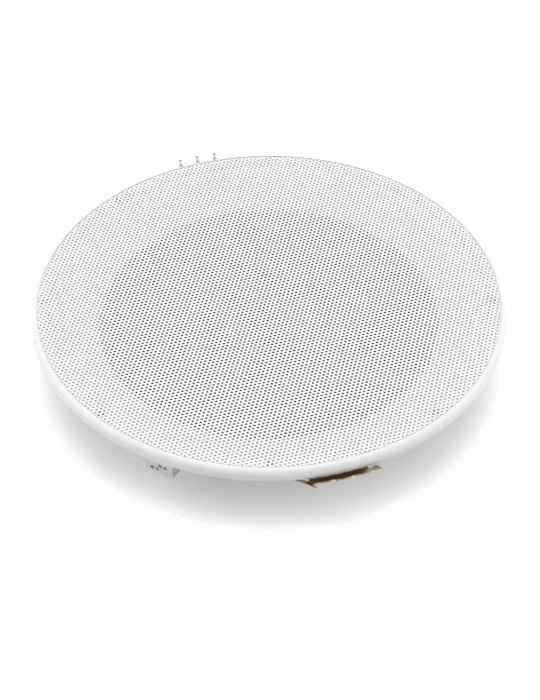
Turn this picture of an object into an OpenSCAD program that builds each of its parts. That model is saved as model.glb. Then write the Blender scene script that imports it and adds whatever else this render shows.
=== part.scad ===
// Round flush-mount marine speaker, face up.
// The origin is the centre of the bezel's back face, where it meets the panel, and +Z points out of the face.
// All lengths are in millimetres and all angles in degrees.

/* [Bezel] */
// How far the bezel reaches past the collar
bezel_w = 12.3; // [11:0.1:14]
// Height of the bezel's crown above the panel
bezel_h = 6.8; // [6.4:0.1:8]
// Radius of the bezel's outer top edge
edge_r = 3.4; // [2.8:0.1:3.8]
// Radius of the bezel's bottom edge
foot_r = 2.2; // [1.6:0.1:2.6]
// Width of the lip round the grille
lip_w = 2.6; // [2.2:0.1:3.2]
// Width of the ledge that the grille rests on
ledge_w = 5; // [4:0.2:6]
// Wall thickness of the moulding
wall = 2.4; // [2:0.1:2.8]
// Radial ribs between the driver seat and the collar
rib_count = 20; // [12:4:28]
// Thickness of a rib
rib_t = 1.6; // [1.2:0.1:2]

/* [Cut-out] */
// Space between the driver's flange and the inside of the collar
collar_gap = 7.2; // [6.6:0.1:9]
// Depth of the collar behind the panel's front
collar_depth = 10; // [9:0.5:12]
// Width of the foam gasket under the bezel
seal_w = 5; // [4:0.2:6]
// How far the foam gasket stands proud of the bezel's back
seal_proud = 1; // [0.5:0.1:1.4]

/* [Grille] */
// Thickness of the grille's sheet
grille_t = 0.7; // [0.6:0.1:1]
// Gap between the grille and the lip
grille_gap = 0.5; // [0.3:0.1:0.8]
// How far the grille's face lies below the bezel's crown
grille_drop = 0.3; // [0.2:0.1:0.5]
// Distance between neighbouring holes
hole_pitch = 8; // [7.5:0.25:10]
// Diameter of a hole
hole_d = 4.4; // [3.6:0.1:4.8]
// Plain rim left outside the holes
rim_w = 1; // [0.8:0.1:2]
// Turn of the hole pattern about the axis
hole_turn = 17.84; // [0:0.01:60]
// Magnets that hold the grille
grip_count = 8; // [6:2:12]
// Diameter of a grille magnet
grip_d = 3.6; // [3:0.1:4]
// Depth of a grille magnet
grip_t = 2; // [1.5:0.1:2.4]

/* [Driver] */
// Width of the driver's flange that the moulding covers
seat_w = 8; // [7.6:0.1:8.8]
// Depth of the opening's edge behind the panel's front
opening_drop = 4.3; // [4:0.1:5]
// Outer diameter of the basket's flange
flange_d = 168.8; // [167:0.2:170]
// Thickness of the basket's flange and walls
basket_t = 2; // [1.6:0.1:2.2]
// Thickness of the gasket in front of the flange
gasket_t = 0.8; // [0.5:0.1:1]
// Screws round the basket's flange
screw_count = 8; // [4:4:8]
// Distance of a screw's axis from the flange's edge
screw_inset = 4; // [3.6:0.1:4.2]
// Diameter of a screw's shank
screw_d = 2.9; // [2.5:0.1:3]
// How deep a screw bites into the moulding
screw_bite = 2.6; // [2.2:0.1:2.8]

// Windows in the basket
window_count = 6; // [4:1:8]
// Half the angle that a window spans
window_half = 22; // [16:0.5:22]

/* [Cone] */
// Width of the flange left outside the surround
surround_inset = 8.4; // [8.2:0.1:9]
// Width of the surround's glued edges
surround_lip = 4.6; // [4:0.1:5]
// Outer radius of the surround's half roll
roll_r = 5; // [4.4:0.1:5.4]
// Thickness of the surround's rubber
surround_t = 0.6; // [0.4:0.05:0.8]
// Thickness of the cone
cone_t = 0.7; // [0.5:0.05:0.9]
// Depth of the cone from its rim to its neck
cone_drop = 4.8; // [4.4:0.1:5.2]
// Diameter of the dust cap
cap_d = 50; // [46:0.5:54]
// Height of the dust cap's dome
cap_h = 5; // [4:0.1:6]
// How far the cone moves each way
travel = 2.5; // [2:0.1:2.8]
// Waves in the spider
wave_count = 4; // [3:1:5]
// Height of a wave of the spider
wave_h = 0.6; // [0.4:0.05:0.7]
// Thickness of the spider
spider_t = 0.5; // [0.4:0.05:0.6]
// Width of the spider outside the former
spider_w = 22.8; // [20:0.2:24]
// Width of the spider's glued rim
spider_rim = 4; // [3:0.1:4.5]

/* [Motor] */
// Inner diameter of the voice-coil former
former_d = 38; // [36:0.2:40]
// Thickness of the former
former_t = 0.2; // [0.15:0.05:0.3]
// Thickness of the winding
coil_t = 0.8; // [0.6:0.05:0.9]
// Height of the winding
coil_h = 5; // [4.4:0.1:5.2]
// Running clearance on each side of the coil
coil_gap = 0.45; // [0.35:0.05:0.6]
// Thickness of the steel cup's rim, outside the coil
rim_t = 7.55; // [6:0.05:8]
// Thickness of the pole plate
plate_t = 4; // [3.6:0.1:4.4]
// Thickness of the magnet
magnet_t = 4; // [4:0.1:5]
// Thickness of the cup's floor
yoke_floor = 3.5; // [3:0.1:4]
// Thickness of the rubber boot
boot_t = 1.3; // [1:0.1:1.8]
// Height of the steel cup that the basket's sleeve grips
grip_h = 6; // [5:0.2:8]

/* [Clips] */
// Direction of the front clip
clip_turn = -72; // [-76:0.5:-68]
// Thickness of the spring steel
clip_t = 0.6; // [0.5:0.05:0.8]
// Angle that a clip spans
clip_span = 15.8; // [15:0.1:18]
// How far the knee, where the leg turns up into the teeth, stands out past the bezel
knee_out = 2; // [1.6:0.1:3]
// Depth of the knee behind the panel's front
knee_drop = 0.5; // [0.4:0.1:1]
// How far the teeth reach out past the knee
tooth_out = 4.2; // [3.6:0.1:4.6]
// Height of the teeth's tips above the panel's front
tip_h = 4.4; // [4:0.1:5]
// How far the bend reaches below the collar's end
bend_drop = 2; // [1.5:0.1:3]
// Teeth on a clip
tooth_count = 3; // [1:1:3]
// Distance between neighbouring teeth
tooth_pitch = 8.6; // [8:0.1:9]
// Width of a tooth at its foot
tooth_w = 6.2; // [5.4:0.1:7]
// Width of the bar across a tooth's tip
bar_w = 1.7; // [1.5:0.1:2.2]
// Width of the long ear, at a clip's first end
ear_w = 11; // [9:0.2:12]
// Width of the short ear, at its other end
short_ear_w = 2; // [1.5:0.1:3]
// How far the long ear hangs past the knee
ear_hang = 2.4; // [1.6:0.1:3]
// Diameter of a clip rivet
rivet_d = 3; // [2.6:0.1:3.2]

/* [Terminals] */
// Direction of the terminal block
block_turn = -120.4; // [-124:0.1:-116]
// Width of the terminal block
block_w = 14; // [13.5:0.5:16]
// Radial depth of the terminal block
block_l = 6; // [5.6:0.1:6.2]
// Height of the terminal block
block_h = 10.4; // [10:0.1:11]
// Diameter of a wire hole
wire_hole_d = 2; // [1.6:0.1:2.2]
// Depth of a wire hole
wire_hole_l = 3; // [2.6:0.1:3.1]
// Spacing of the two wire holes of one pole
wire_pitch = 2.6; // [2.4:0.1:3]
// Distance between the two poles along the block
pole_pitch = 4; // [3.6:0.1:4.4]
// Height between the two poles' rows
row_step = 2.2; // [2:0.1:2.6]

/* [Hidden] */
$fn = 96;
// A step past a face, so that a cut goes clean through
over = 0.5;
// Gap left by glue between a tube and the bore that holds it
glue = 0.05;

// Bezel
flange_r = flange_d / 2;
seat_gap = 0.6;
seat_r = flange_r + seat_gap;
collar_in = flange_r + collar_gap;
collar_r = collar_in + wall;
bezel_r = collar_r + bezel_w;
grille_r = bezel_r - lip_w - grille_gap;
recess_r = bezel_r - lip_w;
grille_top = bezel_h - grille_drop;
ledge_z = grille_top - grille_t;
horn_r = recess_r - ledge_w;
opening_r = flange_r - seat_w;
seat_z = -(opening_drop + wall);
seal_mid = (collar_r + bezel_r) / 2;
seal_depth = ledge_z - wall;
// Height of the moulding's front face at radius r, on the horn between the ledge and the opening
function horn_z(r) = -opening_drop + (r - opening_r) * (ledge_z + opening_drop) / (horn_r - opening_r);
// Height of the horn's back face at radius r
function under_z(r) = horn_z(r) - wall * 1.12;

// Driver, from the baffle back to the motor
basket_z = seat_z - gasket_t;
flange_back = basket_z - basket_t;
screw_ring_r = flange_r - screw_inset;
surround_r = flange_r - surround_inset;
roll_out = surround_r - surround_lip;
roll_mid = roll_out - roll_r;
roll_in = roll_mid - roll_r;
cone_r = roll_in + surround_t;
cone_rim = roll_in - surround_lip;
former_in = former_d / 2;
former_out = former_in + former_t;
neck_r = former_out + glue;
neck_z = basket_z - cone_drop;
cap_r = cap_d / 2;
spider_z = neck_z - cone_t - travel + wave_h + spider_t / 2;
spider_r = former_out + spider_w;
motor_z = spider_z - wave_h - spider_t / 2 - travel - 0.25;
coil_mid = motor_z - plate_t / 2;
coil_bottom = coil_mid - coil_h / 2;
former_bottom = coil_bottom - 0.6;
plate_r = former_in - coil_gap;
gap_r = former_out + coil_t + coil_gap;
magnet_z = motor_z - plate_t;
yoke_in_z = magnet_z - magnet_t;
yoke_back = yoke_in_z - yoke_floor;
yoke_r = gap_r + rim_t;
back_z = yoke_back - boot_t;
sleeve_bottom = motor_z - grip_h;
floor_z = motor_z + 0.8;
sleeve_r = yoke_r + glue + basket_t;
well_r = surround_r - surround_lip - 0.5;
pan_r = spider_r + 2.5 * basket_t;

// Clips
clip_root_r = collar_r + glue;
clip_top = -1.2;
bend_r = 1.6;
bend_depth = collar_depth + bend_drop;
bend_mid = [clip_root_r + bend_r, bend_r - bend_depth];
knee_r = bezel_r + knee_out;
clip_reach = knee_r + tooth_out;
knee = [knee_r, -knee_drop];
// Slope of the leg that runs from the bend up to the knee, as a tangent of the bend
leg_slope = atan2(knee[1] - bend_mid[1], knee[0] - bend_mid[0]) + asin(bend_r / norm(knee - bend_mid));
bar_h = 0.7;
stalk_w = 0.7;
stalk_h = 0.6;
tooth_foot = knee[1] + 0.4;
ear_l = 9;
ear_root = 0.4;
// A length that is longer than any part of a clip
clip_far = 4 * (clip_reach - collar_r);
rivet_z = -5;
rivet_side = 8;
rivet_head_h = 0.9;

// Terminal block
block_out = collar_r - 0.4;
block_top = -collar_depth;
block_screw_d = 2.2;
block_screw_side = block_w / 2 - 2.4;
block_screw_bite = 2.4;
block_screw_in = 1.5;
upper_row_z = block_top - 6;
tag_l = 5;
tag_w = 2.8;
tag_t = 0.8;

function unit(v) = v / norm(v);
function normal_of(a, b) = let (d = unit(b - a)) [-d[1], d[0]];
// Point i of a path, moved sideways by t, with mitred corners
function moved_point(path, i, t) =
    let (last = len(path) - 1,
         before = normal_of(path[max(i, 1) - 1], path[max(i, 1)]),
         after = normal_of(path[min(i, last - 1)], path[min(i, last - 1) + 1]))
    path[i] + (before + after) * t / (1 + before * after);
// Outline of a sheet of thickness t whose one face follows the path
function strip(path, t) = concat(path, [for (i = [len(path) - 1 : -1 : 0]) moved_point(path, i, t)]);

// Copies its children at even steps round the axis
module ring(count, start = 0) {
    for (i = [0 : count - 1])
        rotate([0, 0, start + 360 * i / count])
            children();
}

// A flat ring or washer
module annulus(r_in, r_out, z, t) {
    translate([0, 0, z])
        linear_extrude(t)
            difference() {
                circle(r = r_out);
                circle(r = r_in);
            }
}

// The corner that a rounding of radius r takes away, from a corner at the origin towards +X and +Y
module corner_cut(r) {
    difference() {
        translate([-over, -over])
            square(r + over);
        translate([r, r])
            circle(r = r);
    }
}

// Section of the bezel, horn, driver seat and collar
module bezel_section() {
    difference() {
        polygon([
            [opening_r, -opening_drop], [horn_r, ledge_z], [recess_r, ledge_z], [recess_r, bezel_h],
            [bezel_r, bezel_h], [bezel_r, 0], [collar_r, 0], [collar_r, -collar_depth],
            [collar_in, -collar_depth], [collar_in, under_z(collar_in)], [seat_r, under_z(seat_r)],
            [seat_r, seat_z], [opening_r, seat_z]
        ]);
        translate([bezel_r, bezel_h])
            rotate(180)
                corner_cut(edge_r);
        translate([bezel_r, 0])
            rotate(90)
                corner_cut(foot_r);
        translate([seal_mid - seal_w / 2, -over])
            square([seal_w, seal_depth + over]);
    }
}

// A wall of width w between the driver seat and the collar, from the horn's back down to height z
module web(w, z) {
    sink = wall / 4;
    out = collar_in - seat_r + sink;
    translate([seat_r - sink, w / 2, 0])
        rotate([90, 0, 0])
            linear_extrude(w)
                polygon(concat(z < seat_z ? [[0, seat_z]] : [], [
                    [(seat_z - z) * 0.6, z], [out + sink, z], [out + sink, under_z(collar_in) + sink],
                    [0, under_z(seat_r) + sink]
                ]));
}

// One-piece moulding: bezel, horn, driver seat, collar, ribs and the pad of the terminal block
module bezel() {
    color("white")
        difference() {
            union() {
                rotate_extrude() bezel_section();
                ring(rib_count)
                    web(rib_t, seat_z);
                rotate([0, 0, block_turn])
                    web(block_w, block_top);
            }
            ring(screw_count, 360 / screw_count / 2)
                translate([screw_ring_r, 0, seat_z - over])
                    cylinder(d = screw_d + 2 * glue, h = screw_bite + over + 0.1, $fn = 32);
            ring(grip_count)
                translate([grille_r - rim_w - grip_d / 2, 0, ledge_z - grip_t])
                    cylinder(d = grip_d + 2 * glue, h = grip_t + over, $fn = 32);
            for (side = [0, 180])
                rotate([0, 0, clip_turn + side])
                    rivet_places()
                        cylinder(d = rivet_d + 2 * glue, h = wall * 4, center = true, $fn = 32);
            block_screw_places()
                translate([0, 0, block_top - over])
                    cylinder(d = block_screw_d + 2 * glue, h = block_screw_bite + over + 0.1, $fn = 32);
        }
}

// Perforated steel disc in the bezel's recess
module grille() {
    rows = ceil(grille_r / (hole_pitch * sin(60)));
    color("whitesmoke")
        translate([0, 0, ledge_z])
            rotate([0, 0, hole_turn])
                linear_extrude(grille_t)
                    difference() {
                        circle(r = grille_r);
                        for (row = [-rows : rows], col = [-rows * 2 : rows * 2])
                            let (spot = [(col + (row % 2 == 0 ? 0 : 0.5)) * hole_pitch, row * hole_pitch * sin(60)])
                                if (norm(spot) < grille_r - rim_w - hole_d / 2)
                                    translate(spot)
                                        circle(d = hole_d, $fn = 24);
                    }
}

// Small discs let into the ledge, which hold the steel grille
module grille_magnets() {
    color("silver")
        ring(grip_count)
            translate([grille_r - rim_w - grip_d / 2, 0, ledge_z - grip_t])
                cylinder(d = grip_d, h = grip_t, $fn = 32);
}

// Foam ring in the groove of the bezel's back
module flange_gasket() {
    color("dimgray")
        annulus(seal_mid - seal_w / 2 + glue, seal_mid + seal_w / 2 - glue, -seal_proud, seal_depth + seal_proud);
}

// Foam ring between the driver's flange and the moulding
module driver_gasket() {
    color("dimgray")
        difference() {
            annulus(surround_r + 0.4, flange_r, basket_z, gasket_t);
            ring(screw_count, 360 / screw_count / 2)
                translate([screw_ring_r, 0, basket_z - over])
                    cylinder(d = screw_d + 0.8, h = gasket_t + 2 * over, $fn = 32);
        }
}

// Section of the moulded basket: flange, wall, spider ledge and sleeve round the motor
module basket_section() {
    ledge_in = spider_r - spider_rim;
    ledge_out = spider_r + spider_t;
    ledge_top = spider_z - spider_t / 2;
    polygon([
        [well_r, basket_z], [flange_r, basket_z], [flange_r, flange_back], [well_r + basket_t, flange_back],
        [pan_r + basket_t / 2, floor_z - 1.2], [sleeve_r, floor_z - 1.2],
        [sleeve_r, sleeve_bottom], [yoke_r + glue, sleeve_bottom], [yoke_r + glue, motor_z],
        [yoke_r - 2.6, motor_z], [yoke_r - 2.6, floor_z], [ledge_in, floor_z],
        [ledge_in, ledge_top], [ledge_out, ledge_top], [ledge_out, floor_z + 0.8], [pan_r, floor_z + 0.8],
        [well_r, flange_back]
    ]);
}

// Moulded basket with windows between its spokes
module basket() {
    color("dimgray")
        difference() {
            rotate_extrude() basket_section();
            ring(window_count)
                basket_window();
            ring(screw_count, 360 / screw_count / 2)
                translate([screw_ring_r, 0, flange_back - over])
                    cylinder(d = screw_d + 0.4, h = basket_t + 2 * over, $fn = 32);
        }
}

// Outline of one window: an arc-shaped slot through the basket's sloping wall
module basket_window() {
    inner = (spider_r + pan_r) / 2;
    outer = well_r - 1.5 * basket_t;
    far = 2 * outer;
    translate([0, 0, sleeve_bottom])
        linear_extrude(basket_z - sleeve_bottom + over)
            difference() {
                intersection() {
                    circle(r = outer);
                    polygon([
                        [0, 0], far * [cos(window_half), -sin(window_half)],
                        far * [cos(window_half), sin(window_half)]
                    ]);
                }
                circle(r = inner);
            }
}

// Pan-head screws that hold the basket to the moulding
module driver_screws() {
    color("silver")
        ring(screw_count, 360 / screw_count / 2)
            translate([screw_ring_r, 0, 0])
                screw(flange_back, screw_d, basket_t + gasket_t + screw_bite);
}

// A screw with its head's seat at height z and its shank upwards
module screw(z, d, length) {
    head_h = 0.6 * d;
    translate([0, 0, z])
        cylinder(d = d, h = length, $fn = 32);
    difference() {
        translate([0, 0, z])
            mirror([0, 0, 1])
                cylinder(d1 = 2 * d, d2 = 1.6 * d, h = head_h, $fn = 32);
        for (turn = [0, 90])
            rotate([0, 0, turn])
                translate([-d / 2, -d / 10, z - head_h - over])
                    cube([d, d / 5, over + head_h / 2]);
    }
}

// Rubber half roll between the cone and the basket, with a flat glued edge on each side
module surround() {
    color("dimgray")
        translate([0, 0, basket_z])
            rotate_extrude() {
                translate([roll_out - surround_t, 0])
                    square([surround_lip + surround_t, surround_t]);
                translate([cone_rim, 0])
                    square([surround_lip + surround_t, surround_t]);
                translate([roll_mid, 0])
                    intersection() {
                        difference() {
                            circle(r = roll_r);
                            circle(r = roll_r - surround_t);
                        }
                        translate([-roll_r, 0])
                            square([2 * roll_r, roll_r]);
                    }
            }
}

// Shallow cone with a flat rim and a short neck
module cone() {
    color("black")
        rotate_extrude()
            polygon([
                [cone_r, basket_z], [cone_rim, basket_z], [neck_r, neck_z], [neck_r, neck_z - cone_t - 1],
                [neck_r + cone_t, neck_z - cone_t - 1], [neck_r + cone_t, neck_z - cone_t],
                [cone_rim + 1, basket_z - cone_t], [cone_r, basket_z - cone_t]
            ]);
}

// Height of the cone's front face at radius r
function cone_z(r) = neck_z + (r - neck_r) * (basket_z - neck_z) / (cone_rim - neck_r);

// Domed cap over the voice coil
module dust_cap() {
    dome_r = (cap_r * cap_r + cap_h * cap_h) / (2 * cap_h);
    color("black")
        translate([0, 0, cone_z(cap_r) + 0.1])
            rotate_extrude()
                intersection() {
                    translate([0, cap_h - dome_r])
                        difference() {
                            circle(r = dome_r, $fn = 360);
                            circle(r = dome_r - cone_t, $fn = 360);
                        }
                    square([cap_r, cap_h]);
                }
}

// Waved cloth disc that centres the voice coil
module spider() {
    steps = 8 * wave_count;
    wave_in = former_out + 1.5;
    wave_out = spider_r - spider_rim;
    rise = [for (i = [0 : steps])
        [wave_in + (wave_out - wave_in) * i / steps, wave_h * sin(360 * wave_count * i / steps)]];
    top = concat([[former_out + 0.3, 0]], rise, [[spider_r, 0]]);
    color("goldenrod")
        translate([0, 0, spider_z])
            rotate_extrude()
                polygon(concat(
                    [for (p = top) [p[0], p[1] + spider_t / 2]],
                    [for (i = [len(top) - 1 : -1 : 0]) [top[i][0], top[i][1] - spider_t / 2]]));
}

// Thin tube that carries the winding
module former() {
    color("sienna")
        annulus(former_in, former_out, former_bottom, neck_z - cone_t / 2 - former_bottom);
}

// Winding on the former
module voice_coil() {
    color("peru")
        annulus(former_out, former_out + coil_t, coil_bottom, coil_h);
}

// Steel disc inside the voice coil
module pole_plate() {
    color("silver")
        translate([0, 0, magnet_z])
            cylinder(r = plate_r, h = plate_t);
}

// Magnet disc between the pole plate and the cup
module motor_magnet() {
    color("gray")
        translate([0, 0, yoke_in_z])
            cylinder(r = plate_r - 1.5, h = magnet_t);
}

// Steel cup whose rim forms the outer side of the magnetic gap
module yoke() {
    color("silver")
        rotate_extrude()
            polygon([
                [0, yoke_back], [yoke_r, yoke_back], [yoke_r, motor_z], [gap_r, motor_z],
                [gap_r, motor_z - plate_t], [gap_r + 2.4, motor_z - plate_t - 1], [gap_r + 2.4, yoke_in_z],
                [0, yoke_in_z]
            ]);
}

// Rubber cover over the back of the motor, which the speaker rests on
module motor_boot() {
    boot_r = yoke_r + glue + boot_t;
    color("dimgray")
        rotate_extrude()
            difference() {
                translate([0, back_z])
                    square([boot_r, sleeve_bottom - back_z]);
                translate([0, yoke_back])
                    square([yoke_r + glue, sleeve_bottom - yoke_back + over]);
                translate([boot_r, back_z])
                    rotate(90)
                        corner_cut(boot_t * 0.8);
            }
}

// Places of a clip's two rivets, with +Z along the rivet and out of the collar
module rivet_places() {
    for (side = [-1, 1])
        translate([0, side * rivet_side, rivet_z])
            rotate([0, 90, 0])
                translate([0, 0, sqrt(collar_r * collar_r - rivet_side * rivet_side)])
                    children();
}

// Section of a clip: plate on the collar, bend below it, leg that flares out to the knee, and teeth
module clip_section() {
    steps = 8;
    arc = [for (i = [0 : steps])
        let (a = 180 + (90 + leg_slope) * i / steps) bend_mid + bend_r * [cos(a), sin(a)]];
    polygon(strip(concat([[clip_root_r, clip_top]], arc, [knee, [clip_reach, tip_h]]), clip_t));
}

// Outline of one tooth seen square on: a triangle that carries a short stalk and a cross bar
module tooth_outline() {
    stalk_z = tip_h - bar_h - stalk_h;
    polygon([
        [-tooth_w / 2, knee[1] - 1], [tooth_w / 2, knee[1] - 1], [tooth_w / 2, tooth_foot],
        [stalk_w / 2, stalk_z], [stalk_w / 2, tip_h - bar_h], [bar_w / 2, tip_h - bar_h],
        [bar_w / 2, tip_h + 2], [-bar_w / 2, tip_h + 2], [-bar_w / 2, tip_h - bar_h],
        [-stalk_w / 2, tip_h - bar_h], [-stalk_w / 2, stalk_z], [-tooth_w / 2, tooth_foot]
    ]);
}

// Triangular ear on the end of the leg, folded down from it along the line from the bend to the knee
module clip_ear(width, hang) {
    root = [knee_r - ear_l, 0, knee[1] - ear_l * tan(leg_slope)];
    tip = [knee_r + hang, 0, knee[1] - hang / 4];
    along = unit(tip - root);
    outward = unit([-0.25, 1, 0.35]);
    normal = unit(cross(along, outward));
    across = cross(normal, along);
    multmatrix([
        [along[0], across[0], normal[0], root[0]],
        [along[1], across[1], normal[1], root[1]],
        [along[2], across[2], normal[2], root[2]],
        [0, 0, 0, 1]
    ])
        linear_extrude(clip_t)
            polygon([
                [0, -ear_root], [norm(tip - root) - hang, -ear_root], [norm(tip - root), 0], [1, width],
                [0, width - 1]
            ]);
}

// Spring-steel clip: a bent band whose free end is cut into barbed teeth
module clip(turn) {
    color("tan")
        rotate([0, 0, turn])
            difference() {
                union() {
                    intersection() {
                        rotate([0, 0, -clip_span / 2])
                            rotate_extrude(angle = clip_span) clip_section();
                        union() {
                            translate([0, -clip_far / 2, -bend_depth - over])
                                cube([2 * clip_reach, clip_far, tooth_foot + bend_depth + over]);
                            for (i = [0 : tooth_count - 1])
                                rotate([0, 0, (i - (tooth_count - 1) / 2) * tooth_pitch / clip_reach * 180 / PI])
                                    translate([bezel_r, 0, 0])
                                        rotate([90, 0, 90])
                                            linear_extrude(clip_far)
                                                tooth_outline();
                        }
                    }
                    rotate([0, 0, clip_span / 2])
                        clip_ear(short_ear_w, 0);
                    mirror([0, 1, 0])
                        rotate([0, 0, clip_span / 2])
                            clip_ear(ear_w, ear_hang);
                }
                rivet_places()
                    cylinder(d = rivet_d + 2 * glue, h = wall * 4, center = true, $fn = 32);
            }
}

module clip_front() {
    clip(clip_turn);
}

module clip_rear() {
    clip(clip_turn + 180);
}

// Domed rivets that hold the clips to the collar
module clip_rivets() {
    tail = wall + 1;
    color("silver")
        for (turn = [clip_turn, clip_turn + 180])
            rotate([0, 0, turn])
                rivet_places() {
                    translate([0, 0, -tail])
                        cylinder(d = rivet_d, h = tail + clip_t + rivet_head_h, $fn = 32);
                    translate([0, 0, clip_t + 0.3])
                        cylinder(d1 = 1.7 * rivet_d, d2 = 1.2 * rivet_d, h = rivet_head_h, $fn = 32);
                }
}

// Wire holes of the terminal block, two to a pole, with +Z along each hole and outwards
module wire_holes() {
    for (pole = [0, 1], hole = [0, 1])
        rotate([0, 0, block_turn])
            translate([block_out, (pole - 0.5) * pole_pitch + (hole - 0.5) * wire_pitch,
                upper_row_z - (1 - pole) * row_step])
                rotate([0, 90, 0])
                    children();
}

// Axes of the two screws that hold the terminal block
module block_screw_places() {
    rotate([0, 0, block_turn])
        for (side = [-1, 1])
            translate([block_out - block_l + block_screw_in, side * block_screw_side, 0])
                children();
}

// Moulded block with four wire holes
module terminal_block() {
    color("white")
        difference() {
            rotate([0, 0, block_turn])
                translate([block_out - block_l, -block_w / 2, block_top - block_h])
                    cube([block_l, block_w, block_h]);
            wire_holes()
                translate([0, 0, -wire_hole_l])
                    cylinder(d = wire_hole_d, h = wire_hole_l + over, $fn = 32);
            block_screw_places()
                translate([0, 0, block_top - block_h - over])
                    cylinder(d = block_screw_d + 2 * glue, h = block_h + 2 * over, $fn = 32);
        }
}

// Brass blades on the block's inner side, one for each pole
module terminal_tags() {
    color("goldenrod")
        rotate([0, 0, block_turn])
            for (pole = [0, 1])
                translate([
                    block_out - block_l - tag_l, (pole - 0.5) * pole_pitch * 2 - tag_w / 2,
                    upper_row_z - (1 - pole) * row_step - tag_t / 2
                ])
                    cube([tag_l, tag_w, tag_t]);
}

// Screws that hold the terminal block to its pad
module terminal_screws() {
    color("silver")
        block_screw_places()
            screw(block_top - block_h, block_screw_d, block_h + block_screw_bite);
}

bezel();
grille();
grille_magnets();
flange_gasket();
driver_gasket();
basket();
driver_screws();
surround();
cone();
dust_cap();
spider();
former();
voice_coil();
pole_plate();
motor_magnet();
yoke();
motor_boot();
clip_front();
clip_rear();
clip_rivets();
terminal_block();
terminal_tags();
terminal_screws();
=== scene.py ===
"""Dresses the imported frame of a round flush-mount marine speaker, lying face up on a white floor.

Every length in a dataclass field is in millimetres, and every mesh is in metres, in the frame of
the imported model: +Z out of the speaker's face, origin in the plane of the panel.
"""

from __future__ import annotations

import logging
import math
from collections.abc import Iterable, Sequence
from dataclasses import dataclass, field
from enum import Enum

import bmesh
import bpy
from mathutils import Matrix, Vector

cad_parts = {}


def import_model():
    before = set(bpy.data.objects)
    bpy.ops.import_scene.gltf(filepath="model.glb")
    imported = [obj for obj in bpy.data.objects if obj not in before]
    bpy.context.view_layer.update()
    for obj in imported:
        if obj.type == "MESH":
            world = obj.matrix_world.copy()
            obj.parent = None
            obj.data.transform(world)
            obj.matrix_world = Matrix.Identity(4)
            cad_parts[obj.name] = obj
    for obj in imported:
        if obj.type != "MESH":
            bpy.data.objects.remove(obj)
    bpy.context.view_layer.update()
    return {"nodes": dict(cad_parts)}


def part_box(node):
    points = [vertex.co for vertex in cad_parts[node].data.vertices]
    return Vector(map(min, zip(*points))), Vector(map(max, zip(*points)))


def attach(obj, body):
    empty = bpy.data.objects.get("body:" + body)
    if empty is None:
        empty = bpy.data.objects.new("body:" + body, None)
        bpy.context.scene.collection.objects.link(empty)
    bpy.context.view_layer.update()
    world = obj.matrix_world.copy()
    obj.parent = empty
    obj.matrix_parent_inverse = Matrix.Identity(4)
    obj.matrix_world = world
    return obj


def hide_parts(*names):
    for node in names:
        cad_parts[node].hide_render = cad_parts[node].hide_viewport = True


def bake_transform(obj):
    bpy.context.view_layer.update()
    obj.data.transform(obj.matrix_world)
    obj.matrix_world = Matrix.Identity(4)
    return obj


LOG = logging.getLogger("marine_speaker")
MM = 0.001
WHITE = (1.0, 1.0, 1.0, 1.0)
# A Mix node's colour sockets, by number because its other kinds have sockets of the same names.
MIX_FROM, MIX_TO, MIX_RESULT = 6, 7, 2
# A wave texture has one band in each 0.314 of its scaled length.
WAVE_BAND = 0.314


class Body(Enum):
    """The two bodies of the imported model."""

    HOUSING = "housing"
    MOVING_CONE = "moving_cone"


class Clouds(Enum):
    """How the tone of a moulded surface drifts, as the octaves of its noise."""

    SMOOTH = 2.0
    FIBROUS = 5.0


def linear(code: str) -> tuple[float, float, float, float]:
    """Turns an sRGB hex colour into linear RGBA.

    Args:
        code: Six hex digits after a hash.

    Returns:
        The colour as four linear numbers, with an alpha of 1.
    """
    parts = [int(code[i : i + 2], 16) / 255 for i in (1, 3, 5)]
    red, green, blue = (c / 12.92 if c <= 0.04045 else ((c + 0.055) / 1.055) ** 2.4 for c in parts)
    return red, green, blue, 1.0


def add_node(
    tree: bpy.types.NodeTree,
    kind: str,
    settings: dict[str, object] | None = None,
    inputs: dict[str | int, object] | None = None,
) -> bpy.types.Node:
    """Adds one shader node with its settings and its inputs.

    Args:
        tree: The node tree that gets the node.
        kind: The node's Blender type.
        settings: The node's own properties, by name.
        inputs: A value, or an output socket to link, for each named or numbered input.

    Returns:
        The new node.
    """
    node = tree.nodes.new(kind)
    for name, value in (settings or {}).items():
        setattr(node, name, value)
    for name, value in (inputs or {}).items():
        if isinstance(value, bpy.types.NodeSocket):
            tree.links.new(value, node.inputs[name])
        else:
            node.inputs[name].default_value = value
    return node


@dataclass(frozen=True)
class Finish:
    """What every finish has, and the shader that it ends in.

    Its colour and its shade are the two tones that its pattern runs between.
    """

    name: str
    slot: str
    colour: str
    roughness: float
    shade: str

    def material(self) -> bpy.types.Material:
        """Makes the finish's material, or gives the one already made.

        Returns:
            The material, with its nodes.
        """
        found = bpy.data.materials.get(self.name)
        if found is not None:
            return found
        made = bpy.data.materials.new(self.name)
        made.use_nodes = True
        made.diffuse_color = linear(self.colour)
        tree = made.node_tree
        tree.nodes.clear()
        shader = add_node(
            tree,
            "ShaderNodeBsdfPrincipled",
            inputs={"Base Color": linear(self.colour), "Roughness": self.roughness},
        )
        add_node(tree, "ShaderNodeOutputMaterial", inputs={"Surface": shader.outputs["BSDF"]})
        place = add_node(tree, "ShaderNodeTexCoord").outputs["Object"]
        self.dress(tree, shader, place)
        return made

    def dress(
        self, tree: bpy.types.NodeTree, shader: bpy.types.Node, place: bpy.types.NodeSocket
    ) -> None:
        """Adds the finish's own pattern.

        Args:
            tree: The material's node tree.
            shader: Its Principled shader.
            place: Object coordinates, in metres.
        """
        raise NotImplementedError

    def put_on(self, piece: bpy.types.Object) -> None:
        """Gives a piece this finish.

        Args:
            piece: The piece, which loses the materials that it had.
        """
        piece.data.materials.clear()
        piece.data.materials.append(self.material())


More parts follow.
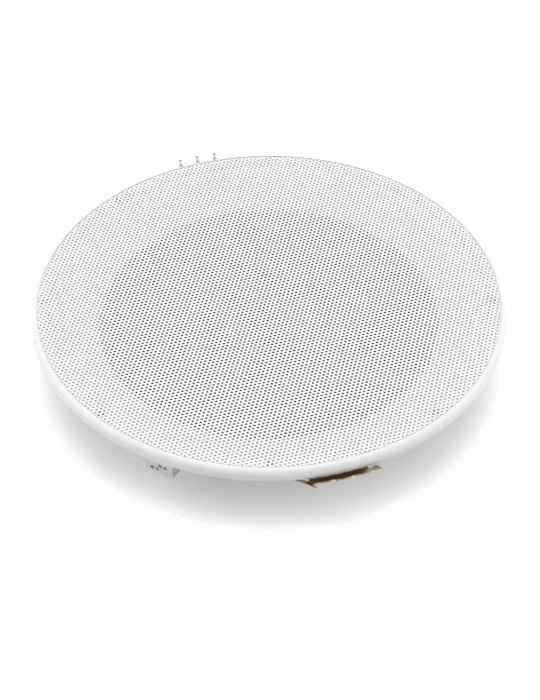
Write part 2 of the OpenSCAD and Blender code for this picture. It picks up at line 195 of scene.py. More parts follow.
@dataclass(frozen=True)
class MouldedPlastic(Finish):
    """Injection-moulded plastic: an even skin with a faint spark-eroded grain and cloudy tones.

    Its gloss span holds the least and the greatest roughness, as shares of the finish's own.
    """

    grain_mm: float = 0.6
    grain_depth_mm: float = 0.006
    grain_octaves: float = 3.0
    cloud_mm: float = 45.0
    clouds: Clouds = Clouds.SMOOTH
    gloss_span: tuple[float, float] = (0.85, 1.2)

    def dress(
        self, tree: bpy.types.NodeTree, shader: bpy.types.Node, place: bpy.types.NodeSocket
    ) -> None:
        """Adds the moulding's tone, gloss and grain.

        Args:
            tree: The material's node tree.
            shader: Its Principled shader.
            place: Object coordinates, in metres.
        """
        cloud = add_node(
            tree,
            "ShaderNodeTexNoise",
            inputs={
                "Vector": place,
                "Scale": 1 / (self.cloud_mm * MM),
                "Detail": self.clouds.value,
            },
        )
        tone = add_node(
            tree,
            "ShaderNodeMix",
            settings={"data_type": "RGBA"},
            inputs={
                "Factor": cloud.outputs["Fac"],
                MIX_FROM: linear(self.colour),
                MIX_TO: linear(self.shade),
            },
        )
        gloss = add_node(
            tree,
            "ShaderNodeMapRange",
            inputs={
                "Value": cloud.outputs["Fac"],
                "To Min": self.roughness * self.gloss_span[0],
                "To Max": self.roughness * self.gloss_span[1],
            },
        )
        skin = add_node(
            tree,
            "ShaderNodeTexNoise",
            inputs={
                "Vector": place,
                "Scale": 1 / (self.grain_mm * MM),
                "Detail": self.grain_octaves,
            },
        )
        bump = add_node(
            tree,
            "ShaderNodeBump",
            inputs={"Height": skin.outputs["Fac"], "Distance": self.grain_depth_mm * MM},
        )
        tree.links.new(tone.outputs[MIX_RESULT], shader.inputs["Base Color"])
        tree.links.new(gloss.outputs["Result"], shader.inputs["Roughness"])
        tree.links.new(bump.outputs["Normal"], shader.inputs["Normal"])


@dataclass(frozen=True)
class PowderCoat(Finish):
    """Polyester powder coat on steel: satin, with the low orange peel of a baked film."""

    peel_mm: float = 1.4
    peel_depth_mm: float = 0.02
    peel_octaves: float = 1.5
    drift_mm: float = 30.0
    drift_octaves: float = 2.0

    def dress(
        self, tree: bpy.types.NodeTree, shader: bpy.types.Node, place: bpy.types.NodeSocket
    ) -> None:
        """Adds the coat's peel and its faint change of tone.

        Args:
            tree: The material's node tree.
            shader: Its Principled shader.
            place: Object coordinates, in metres.
        """
        peel = add_node(
            tree,
            "ShaderNodeTexNoise",
            inputs={
                "Vector": place,
                "Scale": 1 / (self.peel_mm * MM),
                "Detail": self.peel_octaves,
            },
        )
        drift = add_node(
            tree,
            "ShaderNodeTexNoise",
            inputs={
                "Vector": place,
                "Scale": 1 / (self.drift_mm * MM),
                "Detail": self.drift_octaves,
            },
        )
        tone = add_node(
            tree,
            "ShaderNodeMix",
            settings={"data_type": "RGBA"},
            inputs={
                "Factor": drift.outputs["Fac"],
                MIX_FROM: linear(self.colour),
                MIX_TO: linear(self.shade),
            },
        )
        bump = add_node(
            tree,
            "ShaderNodeBump",
            inputs={"Height": peel.outputs["Fac"], "Distance": self.peel_depth_mm * MM},
        )
        tree.links.new(tone.outputs[MIX_RESULT], shader.inputs["Base Color"])
        tree.links.new(bump.outputs["Normal"], shader.inputs["Normal"])


@dataclass(frozen=True)
class PlatedSteel(Finish):
    """Metal, rolled or turned, with a thin plating: its gloss runs in fine streaks.

    Its gloss span holds the least and the greatest roughness, as shares of the finish's own, and
    its streak span the part of the noise that they are spread over.
    """

    streak_mm: float = 0.3
    streak_length_mm: float = 6.0
    streak_depth_mm: float = 0.004
    streak_octaves: float = 2.0
    streak_span: tuple[float, float] = (0.3, 0.7)
    gloss_span: tuple[float, float] = (0.75, 1.3)
    blotch_mm: float = 9.0
    blotch_octaves: float = 4.0

    def dress(
        self, tree: bpy.types.NodeTree, shader: bpy.types.Node, place: bpy.types.NodeSocket
    ) -> None:
        """Adds the streaks of the worked metal and the blotches of the plating bath.

        Args:
            tree: The material's node tree.
            shader: Its Principled shader.
            place: Object coordinates, in metres.
        """
        shader.inputs["Metallic"].default_value = 1.0
        thin, long = 1 / (self.streak_mm * MM), 1 / (self.streak_length_mm * MM)
        drawn = add_node(
            tree, "ShaderNodeMapping", inputs={"Vector": place, "Scale": (thin, long, thin)}
        )
        streak = add_node(
            tree,
            "ShaderNodeTexNoise",
            inputs={
                "Vector": drawn.outputs["Vector"],
                "Scale": 1.0,
                "Detail": self.streak_octaves,
            },
        )
        blotch = add_node(
            tree,
            "ShaderNodeTexNoise",
            inputs={
                "Vector": place,
                "Scale": 1 / (self.blotch_mm * MM),
                "Detail": self.blotch_octaves,
            },
        )
        tone = add_node(
            tree,
            "ShaderNodeMix",
            settings={"data_type": "RGBA"},
            inputs={
                "Factor": blotch.outputs["Fac"],
                MIX_FROM: linear(self.colour),
                MIX_TO: linear(self.shade),
            },
        )
        gloss = add_node(
            tree,
            "ShaderNodeMapRange",
            inputs={
                "Value": streak.outputs["Fac"],
                "From Min": self.streak_span[0],
                "From Max": self.streak_span[1],
                "To Min": self.roughness * self.gloss_span[0],
                "To Max": self.roughness * self.gloss_span[1],
            },
        )
        bump = add_node(
            tree,
            "ShaderNodeBump",
            inputs={"Height": streak.outputs["Fac"], "Distance": self.streak_depth_mm * MM},
        )
        tree.links.new(tone.outputs[MIX_RESULT], shader.inputs["Base Color"])
        tree.links.new(gloss.outputs["Result"], shader.inputs["Roughness"])
        tree.links.new(bump.outputs["Normal"], shader.inputs["Normal"])


@dataclass(frozen=True)
class CellFoam(Finish):
    """Closed-cell foam or matt rubber: a pitted skin that takes no highlight."""

    cell_mm: float = 0.5
    cell_depth_mm: float = 0.05

    def dress(
        self, tree: bpy.types.NodeTree, shader: bpy.types.Node, place: bpy.types.NodeSocket
    ) -> None:
        """Adds the cells of the skin, with painted shade darkening their pits.

        Args:
            tree: The material's node tree.
            shader: Its Principled shader.
            place: Object coordinates, in metres.
        """
        cells = add_node(
            tree,
            "ShaderNodeTexVoronoi",
            inputs={"Vector": place, "Scale": 1 / (self.cell_mm * MM)},
        )
        # Painted shade: the pits, where the bump is lowest, take the darker tone.
        tone = add_node(
            tree,
            "ShaderNodeMix",
            settings={"data_type": "RGBA"},
            inputs={
                "Factor": cells.outputs["Distance"],
                MIX_FROM: linear(self.shade),
                MIX_TO: linear(self.colour),
            },
        )
        bump = add_node(
            tree,
            "ShaderNodeBump",
            inputs={"Height": cells.outputs["Distance"], "Distance": self.cell_depth_mm * MM},
        )
        tree.links.new(tone.outputs[MIX_RESULT], shader.inputs["Base Color"])
        tree.links.new(bump.outputs["Normal"], shader.inputs["Normal"])


@dataclass(frozen=True)
class CoatedWeave(Finish):
    """Cotton cloth stiffened with resin: two sets of threads that show through an amber coat."""

    thread_mm: float = 0.9
    thread_depth_mm: float = 0.08
    waver: float = 0.3
    waver_octaves: float = 1.0

    def dress(
        self, tree: bpy.types.NodeTree, shader: bpy.types.Node, place: bpy.types.NodeSocket
    ) -> None:
        """Adds the two sets of threads, with painted shade darkening the dips between them.

        Args:
            tree: The material's node tree.
            shader: Its Principled shader.
            place: Object coordinates, in metres.
        """
        warp, weft = (
            add_node(
                tree,
                "ShaderNodeTexWave",
                settings={"bands_direction": way},
                inputs={
                    "Vector": place,
                    "Scale": WAVE_BAND / (self.thread_mm * MM),
                    "Distortion": self.waver,
                    "Detail": self.waver_octaves,
                },
            ).outputs["Fac"]
            for way in ("X", "Y")
        )
        woven = add_node(
            tree, "ShaderNodeMath", settings={"operation": "MAXIMUM"}, inputs={0: warp, 1: weft}
        )
        # Painted shade: where the threads dip, between them, the cloth takes the darker tone.
        tone = add_node(
            tree,
            "ShaderNodeMix",
            settings={"data_type": "RGBA"},
            inputs={
                "Factor": woven.outputs["Value"],
                MIX_FROM: linear(self.shade),
                MIX_TO: linear(self.colour),
            },
        )
        bump = add_node(
            tree,
            "ShaderNodeBump",
            inputs={"Height": woven.outputs["Value"], "Distance": self.thread_depth_mm * MM},
        )
        tree.links.new(tone.outputs[MIX_RESULT], shader.inputs["Base Color"])
        tree.links.new(bump.outputs["Normal"], shader.inputs["Normal"])


@dataclass(frozen=True)
class WoundWire(Finish):
    """Enamelled copper wire, wound in close turns along Z: metal under a clear amber varnish."""

    turn_mm: float = 0.35
    varnish: float = 0.6

    def dress(
        self, tree: bpy.types.NodeTree, shader: bpy.types.Node, place: bpy.types.NodeSocket
    ) -> None:
        """Adds the turns of the wire, with painted shade darkening the gaps between them.

        Args:
            tree: The material's node tree.
            shader: Its Principled shader.
            place: Object coordinates, in metres.
        """
        shader.inputs["Metallic"].default_value = 1.0
        shader.inputs["Coat Weight"].default_value = self.varnish
        turns = add_node(
            tree,
            "ShaderNodeTexWave",
            settings={"bands_direction": "Z"},
            inputs={"Vector": place, "Scale": WAVE_BAND / (self.turn_mm * MM)},
        )
        # Painted shade: the gaps between the turns, where the bump is lowest, take the darker tone.
        tone = add_node(
            tree,
            "ShaderNodeMix",
            settings={"data_type": "RGBA"},
            inputs={
                "Factor": turns.outputs["Fac"],
                MIX_FROM: linear(self.shade),
                MIX_TO: linear(self.colour),
            },
        )
        bump = add_node(
            tree,
            "ShaderNodeBump",
            inputs={"Height": turns.outputs["Fac"], "Distance": self.turn_mm * MM / 2},
        )
        tree.links.new(tone.outputs[MIX_RESULT], shader.inputs["Base Color"])
        tree.links.new(bump.outputs["Normal"], shader.inputs["Normal"])


# Acrylic-styrene for the sea air, moulded in a spark-eroded tool: white, satin and even.
WHITE_ASA = MouldedPlastic("White_ASA_moulded", "bezel_asa", "#F7F7F7", 0.34, "#F3F3F3")
# White polyester powder on punched steel, flatter in its gloss than the moulding beside it.
WHITE_POWDER = PowderCoat(
    "White_powder_coat_on_steel", "grille_paint", "#F8F8F8", 0.42, "#F4F4F4"
)
# Nylon with glass fibre comes out of the mould dark and matt, with cloudy fibre marks.
BLACK_NYLON = MouldedPlastic(
    "Black_glass_filled_nylon",
    "basket_nylon",
    "#1B1B1D",
    0.55,
    "#242427",
    grain_mm=0.8,
    grain_depth_mm=0.02,
    cloud_mm=14.0,
    clouds=Clouds.FIBROUS,
)
# Polypropylene pressed into a thin cone: smooth and waxy.
BLACK_POLYPROPYLENE = MouldedPlastic(
    "Black_polypropylene_cone",
    "cone_polypropylene",
    "#17171A",
    0.38,
    "#1E1E21",
    grain_mm=1.5,
    grain_depth_mm=0.01,
    cloud_mm=30.0,
)
# Moulded nylon block, whiter than the bezel and without its satin gloss.
WHITE_NYLON = MouldedPlastic(
    "White_nylon_block",
    "terminal_nylon",
    "#FAFAF9",
    0.5,
    "#F5F5F3",
    grain_mm=0.7,
    grain_depth_mm=0.012,
)
# Polyimide film, rolled into a tube: amber and glossy.
AMBER_FILM = MouldedPlastic(
    "Amber_polyimide_film",
    "former_film",
    "#8A4A12",
    0.25,
    "#9A5518",
    grain_mm=3.0,
    grain_depth_mm=0.004,
)
# Moulded butyl rubber half roll and boot: black with a soft bloom, and painted shade in its pits.
BLACK_BUTYL = CellFoam(
    "Black_butyl_rubber",
    "rubber_black",
    "#232325",
    0.62,
    "#1A1A1C",
    cell_mm=0.9,
    cell_depth_mm=0.01,
)
# Crosslinked polyethylene foam, die-cut: charcoal and pitted, with painted shade in the pits.
CHARCOAL_FOAM = CellFoam(
    "Charcoal_closed_cell_foam",
    "foam_black",
    "#2C2C2E",
    0.85,
    "#161617",
    cell_mm=0.6,
    cell_depth_mm=0.08,
)
# Cotton, coated with resin and pressed hot: amber, threads showing, painted shade between them.
AMBER_COTTON = CoatedWeave("Amber_coated_cotton", "spider_cloth", "#C79A4C", 0.7, "#8A6428")
# Yellow-passivated zinc on cold-rolled spring steel: pale gold, streaked along the sheet.
GOLD_ZINC = PlatedSteel(
    "Yellow_passivated_spring_steel",
    "clip_steel",
    "#D6C7AA",
    0.34,
    "#BFAF92",
    streak_mm=0.25,
    streak_length_mm=8.0,
)
# Bright zinc on turned steel: cool grey, softly shining.
BRIGHT_ZINC = PlatedSteel(
    "Bright_zinc_on_turned_steel",
    "zinc_steel",
    "#C9CBCD",
    0.35,
    "#B7BABD",
    streak_mm=0.4,
    streak_length_mm=4.0,
)
# Nickel plate on sintered magnets: nearly a mirror, slightly warm.
NICKEL = PlatedSteel(
    "Bright_nickel_plate",
    "nickel_plate",
    "#CFCBC2",
    0.18,
    "#C4C0B6",
    streak_mm=0.2,
    streak_length_mm=2.0,
    streak_depth_mm=0.001,
)
# Marine stainless steel, tumbled: pale grey with short scratches.
STAINLESS = PlatedSteel(
    "Tumbled_stainless_steel",
    "stainless",
    "#C8C8C6",
    0.3,
    "#BDBDBA",
    streak_mm=0.5,
    streak_length_mm=1.0,
)
# Brass strip, rolled and stamped: warm yellow, streaked along the strip.
BRASS = PlatedSteel(
    "Stamped_brass",
    "brass_plain",
    "#D9BC7A",
    0.28,
    "#C9A968",
    streak_mm=0.3,
    streak_length_mm=3.0,
)
# Copper wire, drawn and enamelled: reddish turns under varnish, painted shade in the gaps.
COPPER = WoundWire("Enamelled_copper_winding", "copper_winding", "#C9794A", 0.3, "#6E3517")


def finished_piece(
    bm: bmesh.types.BMesh, name: str, finish: Finish, crease_deg: float
) -> bpy.types.Object:
    """Turns a bmesh into a smooth-shaded piece at the origin, with its steep edges left sharp.

    Args:
        bm: The mesh, in metres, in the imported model's frame. It is freed.
        name: The piece's name.
        finish: What it is dressed in.
        crease_deg: Edges that turn by more than this stay sharp.

    Returns:
        The new object, linked to the scene.
    """
    mesh = bpy.data.meshes.new(name)
    for face in bm.faces:
        face.smooth = True
    bm.to_mesh(mesh)
    bm.free()
    mesh.set_sharp_from_angle(angle=math.radians(crease_deg))
    piece = bpy.data.objects.new(name, mesh)
    bpy.context.scene.collection.objects.link(piece)
    finish.put_on(piece)
    return piece


def profile_loop(
    bm: bmesh.types.BMesh, points: Sequence[tuple[float, float]]
) -> bmesh.types.BMFace:
    """Adds a closed section in the XZ plane, as one face.

    Args:
        bm: The mesh that gets it.
        points: Radius and height of each corner, in millimetres.

    Returns:
        The face.
    """
    return bm.faces.new([bm.verts.new((r * MM, 0.0, z * MM)) for r, z in points])


@dataclass
class PerforatedGrille:
    """Dished steel disc, punched all over with small holes on a staggered grid.

    The grid runs on past the disc's edge, which cuts through its outermost holes. Its rows and its
    columns are doubled as often as it takes to cover the disc.
    """

    pitch: float = 2.0
    hole_d: float = 1.24
    hole_sides: int = 8
    sheet: float = 0.35
    dish: float = 2.1
    dish_r: float = 102.5
    grid_turn_deg: float = -42.16
    strips: int = 3
    rows_doubled: int = 6
    columns_doubled: int = 7
    weld: float = 0.004
    crease_deg: float = 50.0

    def build(self) -> list[bpy.types.Object]:
        """Builds the disc in strips that each stay within the triangle limit.

        Returns:
            The strips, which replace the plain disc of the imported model.
        """
        low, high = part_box("grille")
        edge_r = (high.x - low.x) / 2
        whole = self._tiled()
        self._trim(whole, edge_r)
        self._shape(whole, high.z)
        pieces = []
        span = 2 * edge_r / self.strips
        for number in range(self.strips):
            part = whole.copy()
            left = -edge_r + number * span
            outside = [f for f in part.faces if not left <= f.calc_center_median().x < left + span]
            bmesh.ops.delete(part, geom=outside, context="FACES")
            self._thicken(part)
            name = f"grille_sheet_{number + 1}"
            piece = finished_piece(part, name, WHITE_POWDER, self.crease_deg)
            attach(piece, Body.HOUSING.value)
            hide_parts("grille")
            pieces.append(piece)
        whole.free()
        return pieces

    def _tiled(self) -> bmesh.types.BMesh:
        """Lays cells, each a hexagon with a round hole, over more than the disc.

        Returns:
            The flat sheet of cells, centred and turned.
        """
        bm = bmesh.new()
        pitch = self.pitch * MM
        bmesh.ops.create_circle(bm, segments=6, radius=pitch / math.sqrt(3))
        bmesh.ops.create_circle(bm, segments=self.hole_sides, radius=self.hole_d / 2 * MM)
        bmesh.ops.bridge_loops(bm, edges=bm.edges[:])
        # Rows of a staggered grid lie closer than its holes do, by the height of a triangle.
        row_step = pitch * math.sin(math.radians(60))
        steps = [Vector((pitch / 2, row_step, 0))]
        steps += [Vector((0, 2 * row_step * 2**i, 0)) for i in range(self.rows_doubled)]
        steps += [Vector((pitch * 2**i, 0, 0)) for i in range(self.columns_doubled)]
        for step in steps:
            copied = bmesh.ops.duplicate(bm, geom=bm.verts[:] + bm.edges[:] + bm.faces[:])
            moved = [v for v in copied["geom"] if isinstance(v, bmesh.types.BMVert)]
            bmesh.ops.translate(bm, verts=moved, vec=step)
        middle_x = pitch * 2 ** (self.columns_doubled - 1)
        middle_y = row_step * 2**self.rows_doubled
        bmesh.ops.translate(bm, verts=bm.verts[:], vec=(-middle_x, -middle_y, 0))
        turn = Matrix.Rotation(math.radians(self.grid_turn_deg), 3, "Z")
        bmesh.ops.rotate(bm, verts=bm.verts[:], matrix=turn)
        return bm

    def _trim(self, bm: bmesh.types.BMesh, edge_r: float) -> None:
        """Cuts the sheet of cells round, through the holes that lie on its edge.

        Args:
            bm: The flat sheet.
            edge_r: The disc's radius, in metres.
        """
        beyond = [f for f in bm.faces if all(v.co.length >= edge_r for v in f.verts)]
        bmesh.ops.delete(bm, geom=beyond, context="FACES")
        for vert in bm.verts:
            if vert.co.length > edge_r:
                vert.co *= edge_r / vert.co.length
        bmesh.ops.remove_doubles(bm, verts=bm.verts[:], dist=self.weld * MM)

    def _shape(self, bm: bmesh.types.BMesh, top: float) -> None:
        """Presses the flat sheet into its shallow dish.

        Args:
            bm: The flat sheet.
            top: Height of the rim's face, in metres.
        """
        for vert in bm.verts:
            share = min(vert.co.xy.length / (self.dish_r * MM), 1.0)
            vert.co.z = top - self.dish * MM * (1 - share**2) ** 2

    def _thicken(self, bm: bmesh.types.BMesh) -> None:
        """Gives the sheet its thickness, with a wall in every hole.

        Args:
            bm: The dished sheet, whose face is the outer one.
        """
        grown = bmesh.ops.extrude_face_region(bm, geom=bm.faces[:], use_keep_orig=True)
        back = [v for v in grown["geom"] if isinstance(v, bmesh.types.BMVert)]
        bmesh.ops.translate(bm, verts=back, vec=(0, 0, -self.sheet * MM))
        bmesh.ops.recalc_face_normals(bm, faces=bm.faces[:])


@dataclass
class Suspension:
    """The rubber half roll and the waved cloth disc, each spun in sectors."""

    sectors: int = 12
    steps: int = 4
    lip_out: float = 76.0
    roll_out: float = 71.4
    roll_in: float = 61.4
    lip_in: float = 56.8
    roll_sides: int = 16
    rubber: float = 0.6
    front_z: float = -7.5
    cloth_out: float = 42.0
    cloth_in: float = 19.5
    wave_out: float = 38.0
    wave_in: float = 20.7
    waves: int = 4
    wave_sides: int = 8
    wave_height: float = 0.6
    cloth: float = 0.5
    cloth_z: float = -14.65
    crease_deg: float = 35.0

    def build(self) -> list[bpy.types.Object]:
        """Builds both rings.

        Returns:
            The sectors of both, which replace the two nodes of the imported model.
        """
        roll, cloth = self._roll_section(), self._cloth_section()
        pieces = self._sectors("surround", roll, BLACK_BUTYL, self.roll_out)
        pieces += self._sectors("spider", cloth, AMBER_COTTON, self.wave_out)
        return pieces

    def _roll_section(self) -> list[tuple[float, float]]:
        """Works out the section of the half roll between its two flat lips.

        Returns:
            Radius and height of each corner, in millimetres.
        """
        middle, radius = (self.roll_out + self.roll_in) / 2, (self.roll_out - self.roll_in) / 2
        inner_r, front = radius - self.rubber, self.front_z
        turns = [math.pi * i / self.roll_sides for i in range(self.roll_sides + 1)]
        # The outer arc ends on the lips' upper face, the inner one on their lower face.
        top = front + self.rubber
        start = math.asin(self.rubber / radius)
        spread = [start + (math.pi - 2 * start) * t / math.pi for t in turns]
        outer = [(middle + radius * math.cos(a), front + radius * math.sin(a)) for a in spread]
        inner = [(middle + inner_r * math.cos(a), front + inner_r * math.sin(a)) for a in turns]
        lip_out = [(self.lip_out, front), (self.lip_out, top)]
        lip_in = [(self.lip_in, top), (self.lip_in, front)]
        return lip_out + outer + lip_in + inner[::-1]

    def _cloth_section(self) -> list[tuple[float, float]]:
        """Works out the section of the waved disc.

        Returns:
            Radius and height of each corner, in millimetres.
        """
        count = self.waves * self.wave_sides
        line = [(self.cloth_in, 0.0)]
        for i in range(count + 1):
            r = self.wave_in + (self.wave_out - self.wave_in) * i / count
            line.append((r, self.wave_height * math.sin(math.tau * self.waves * i / count)))
        line.append((self.cloth_out, 0.0))
        over = [(r, self.cloth_z + z + self.cloth / 2) for r, z in line]
        under = [(r, self.cloth_z + z - self.cloth / 2) for r, z in line]
        return over + under[::-1]

    def _sectors(
        self,
        name: str,
        section: list[tuple[float, float]],
        finish: Finish,
        held_r: float,
    ) -> list[bpy.types.Object]:
        """Spins a section into sectors.

        Args:
            name: The node that the sectors replace.
            section: Radius and height of each corner of the section, in millimetres.
            finish: What the sectors are dressed in.
            held_r: A radius in millimetres, which is not used.

        Returns:
            The sectors.
        """
        pieces = []
        span = math.tau / self.sectors
        # Measured along a sector's middle line, its outer corners lie only this far out.
        held_r *= math.cos(span / 2)
        for number in range(self.sectors):
            bm = bmesh.new()
            face = profile_loop(bm, section)
            turn = Matrix.Rotation(span * number, 3, "Z")
            bmesh.ops.rotate(bm, verts=bm.verts[:], matrix=turn)
            bmesh.ops.spin(
                bm,
                geom=[face, *face.edges, *face.verts],
                axis=(0, 0, 1),
                angle=span,
                steps=self.steps,
                use_duplicate=False,
            )
            bmesh.ops.recalc_face_normals(bm, faces=bm.faces[:])
            piece = finished_piece(bm, f"{name}_sector_{number + 1}", finish, self.crease_deg)
            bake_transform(piece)
            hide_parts(name)
            pieces.append(piece)
        return pieces


@dataclass
class CarriedNodes:
    """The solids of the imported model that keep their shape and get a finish."""

    finishes: dict[str, Finish] = field(
        default_factory=lambda: {
            "bezel": WHITE_ASA,
            "grille_magnets": NICKEL,
            "flange_gasket": CHARCOAL_FOAM,
            "driver_gasket": CHARCOAL_FOAM,
            "basket": BLACK_NYLON,
            "driver_screws": STAINLESS,
            "cone": BLACK_POLYPROPYLENE,
            "dust_cap": BLACK_POLYPROPYLENE,
            "former": AMBER_FILM,
            "voice_coil": COPPER,
            "pole_plate": BRIGHT_ZINC,
            "motor_magnet": NICKEL,
            "yoke": BRIGHT_ZINC,
            "motor_boot": BLACK_BUTYL,
            "clip_front": GOLD_ZINC,
            "clip_rear": GOLD_ZINC,
            "clip_rivets": STAINLESS,
            "terminal_block": WHITE_NYLON,
            "terminal_tags": BRASS,
            "terminal_screws": STAINLESS,
        }
    )

    def dress(self, nodes: dict[str, bpy.types.Object]) -> list[bpy.types.Object]:
        """Puts each node's finish on it.

        Args:
            nodes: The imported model's objects, by node name.

        Returns:
            The dressed objects.
        """
        for name, finish in self.finishes.items():
            finish.put_on(nodes[name])
        return [nodes[name] for name in self.finishes]


@dataclass(frozen=True)
class Diffuser:
    """A large lit cloth in the room, as a patch of the sky that is brightest at its middle.

    Its level is the brightness at its middle, where 1 is white, and its fall is how fast that
    fades outwards.
    """

    toward: tuple[float, float, float]
    level: float
    fall: float

    def added(
        self,
        tree: bpy.types.NodeTree,
        way: bpy.types.NodeSocket,
        below: float | bpy.types.NodeSocket,
    ) -> bpy.types.NodeSocket:
        """Adds the diffuser to the light that is there already.

        Args:
            tree: The world's node tree.
            way: The direction that is looked in.
            below: The brightness without this diffuser.

        Returns:
            The brightness with it.
        """
        facing = add_node(
            tree,
            "ShaderNodeVectorMath",
            settings={"operation": "DOT_PRODUCT"},
            inputs={0: way, 1: Vector(self.toward).normalized()},
        )
        ahead = add_node(
            tree,
            "ShaderNodeMath",
            settings={"operation": "MAXIMUM"},
            inputs={0: facing.outputs["Value"], 1: 0.0},
        )
        patch = add_node(
            tree,
            "ShaderNodeMath",
            settings={"operation": "POWER"},
            inputs={0: ahead.outputs["Value"], 1: self.fall},
        )
        total = add_node(
            tree,
            "ShaderNodeMath",
            settings={"operation": "MULTIPLY_ADD"},
            inputs={0: patch.outputs["Value"], 1: self.level, 2: below},
        )
        return total.outputs["Value"]


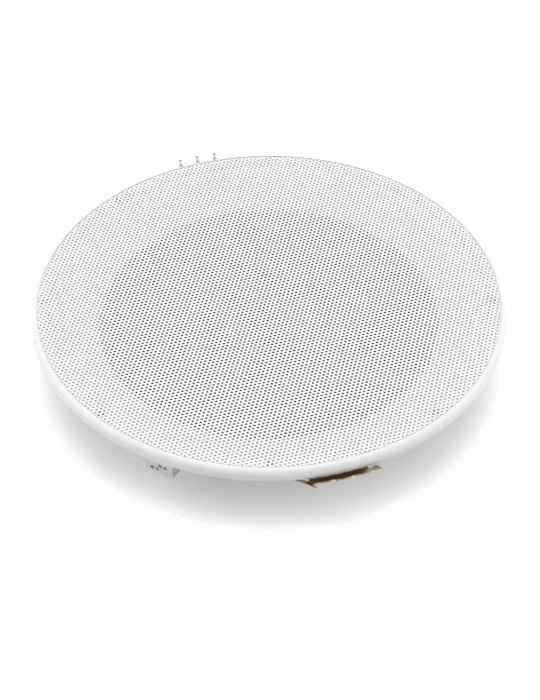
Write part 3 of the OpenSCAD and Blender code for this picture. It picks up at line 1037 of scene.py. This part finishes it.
@dataclass
class Studio:
    """The photograph's camera, a white floor up to the horizon, and soft light from above.

    The camera looks at a point of the grille's dish on the object's axis. The floor's colour is
    what lights the object. To the eye it also sends back its gain as a second share of light and
    its glow as light of its own, which together make it white away from the shadow. The room's
    level is the light that comes from everywhere.
    """

    elevation_deg: float = 43.147
    roll_deg: float = 0.1688
    distance: float = 1011.51
    shift_x: float = -0.469
    shift_y: float = 20.654
    dish_z: float = 4.4
    focal_px: float = 2260.47
    frame_px: float = 700.0
    sensor: float = 36.0
    near: float = 10.0
    floor_z: float = -31.05
    floor_half: float = 6000.0
    paper: str = "#D9D9D9"
    glow: float = 0.30
    seen_gain: float = 0.45
    room: float = 0.03
    diffusers: tuple[Diffuser, ...] = (
        Diffuser(toward=(0.0, 0.05, 1.0), level=4.8, fall=12.0),
        Diffuser(toward=(-1.0, 0.0, 0.3), level=2.3, fall=7.0),
        Diffuser(toward=(1.0, 0.0, 0.3), level=2.3, fall=7.0),
    )

    def build(self) -> None:
        """Builds the camera, the floor and the light."""
        bpy.context.scene.view_settings.view_transform = "Standard"
        self._camera()
        self._floor()
        self._sky()

    def _camera(self) -> None:
        """Sets the camera where the photograph was taken from."""
        tilt, roll = math.radians(self.elevation_deg), math.radians(self.roll_deg)
        right = Vector((1, 0, 0))
        up = Vector((0, math.sin(tilt), math.cos(tilt)))
        back = Vector((0, -math.cos(tilt), math.sin(tilt)))
        side = right * math.cos(roll) - up * math.sin(roll)
        top = right * math.sin(roll) + up * math.cos(roll)
        place = back * self.distance - side * self.shift_x - top * self.shift_y
        place += Vector((0, 0, self.dish_z))
        camera = bpy.data.objects.new("camera", bpy.data.cameras.new("camera"))
        camera.data.sensor_width = self.sensor
        camera.data.lens = self.focal_px / self.frame_px * self.sensor
        camera.data.clip_start = self.near * MM
        turned = Matrix((side, top, back)).transposed().to_4x4()
        camera.matrix_world = Matrix.Translation(place * MM) @ turned
        bpy.context.scene.collection.objects.link(camera)
        bpy.context.scene.camera = camera

    def _floor(self) -> None:
        """Lays the floor, white to the eye but with the object's shadow on it."""
        bm = bmesh.new()
        bmesh.ops.create_grid(bm, x_segments=1, y_segments=1, size=self.floor_half * MM)
        bmesh.ops.translate(bm, verts=bm.verts[:], vec=(0, 0, self.floor_z * MM))
        mesh = bpy.data.meshes.new("floor")
        bm.to_mesh(mesh)
        bm.free()
        floor = bpy.data.objects.new("floor", mesh)
        bpy.context.scene.collection.objects.link(floor)
        sweep = bpy.data.materials.new("White_sweep_paper")
        sweep.use_nodes = True
        tree = sweep.node_tree
        tree.nodes.clear()
        paper = add_node(tree, "ShaderNodeBsdfDiffuse", inputs={"Color": linear(self.paper)})
        more = add_node(
            tree, "ShaderNodeBsdfDiffuse", inputs={"Color": (self.seen_gain,) * 3 + (1.0,)}
        )
        glow = add_node(tree, "ShaderNodeEmission", inputs={"Strength": self.glow})
        gained = add_node(
            tree, "ShaderNodeAddShader", inputs={0: paper.outputs["BSDF"], 1: more.outputs["BSDF"]}
        )
        white = add_node(
            tree,
            "ShaderNodeAddShader",
            inputs={0: gained.outputs["Shader"], 1: glow.outputs["Emission"]},
        )
        face = add_node(
            tree,
            "ShaderNodeMixShader",
            inputs={
                "Fac": self._seen(tree),
                1: paper.outputs["BSDF"],
                2: white.outputs["Shader"],
            },
        )
        # Seen from underneath, the paper is clear, so that the object's back can be looked at.
        side = add_node(tree, "ShaderNodeNewGeometry")
        clear = add_node(tree, "ShaderNodeBsdfTransparent")
        sheet = add_node(
            tree,
            "ShaderNodeMixShader",
            inputs={
                "Fac": side.outputs["Backfacing"],
                1: face.outputs["Shader"],
                2: clear.outputs["BSDF"],
            },
        )
        add_node(tree, "ShaderNodeOutputMaterial", inputs={"Surface": sheet.outputs["Shader"]})
        floor.data.materials.append(sweep)

    @staticmethod
    def _seen(tree: bpy.types.NodeTree) -> bpy.types.NodeSocket:
        """Tells what the camera sees, directly or in metal and glass, from what lights the object.

        Args:
            tree: The node tree that asks.

        Returns:
            A socket that is 1 for camera, glossy and transmission rays.
        """
        path = add_node(tree, "ShaderNodeLightPath")
        shiny = add_node(
            tree,
            "ShaderNodeMath",
            settings={"operation": "MAXIMUM"},
            inputs={0: path.outputs["Is Glossy Ray"], 1: path.outputs["Is Transmission Ray"]},
        )
        seen = add_node(
            tree,
            "ShaderNodeMath",
            settings={"operation": "MAXIMUM"},
            inputs={0: path.outputs["Is Camera Ray"], 1: shiny.outputs["Value"]},
        )
        return seen.outputs["Value"]

    def _sky(self) -> None:
        """Lights the room with the diffusers: a large one above and a fainter one at each side."""
        world = bpy.data.worlds.new("White_studio")
        world.use_nodes = True
        tree = world.node_tree
        tree.nodes.clear()
        seen = add_node(tree, "ShaderNodeBackground", inputs={"Color": WHITE, "Strength": 1.0})
        way = add_node(tree, "ShaderNodeTexCoord").outputs["Generated"]
        level: float | bpy.types.NodeSocket = self.room
        for diffuser in self.diffusers:
            level = diffuser.added(tree, way, level)
        light = add_node(tree, "ShaderNodeBackground", inputs={"Color": WHITE, "Strength": level})
        mixed = add_node(
            tree,
            "ShaderNodeMixShader",
            inputs={
                "Fac": self._seen(tree),
                1: light.outputs["Background"],
                2: seen.outputs["Background"],
            },
        )
        add_node(tree, "ShaderNodeOutputWorld", inputs={"Surface": mixed.outputs["Shader"]})
        bpy.context.scene.world = world


def main() -> None:
    """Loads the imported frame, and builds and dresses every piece."""
    logging.basicConfig(level=logging.INFO, format="%(name)s: %(message)s")
    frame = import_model()
    Studio().build()
    LOG.info("studio is set")
    for piece in CarriedNodes().dress(frame["nodes"]):
        LOG.info("dressed %s", piece.name)
    for maker in (PerforatedGrille(), Suspension()):
        for piece in maker.build():
            LOG.info("built %s with %d faces", piece.name, len(piece.data.polygons))


if __name__ == "__main__":
    main()
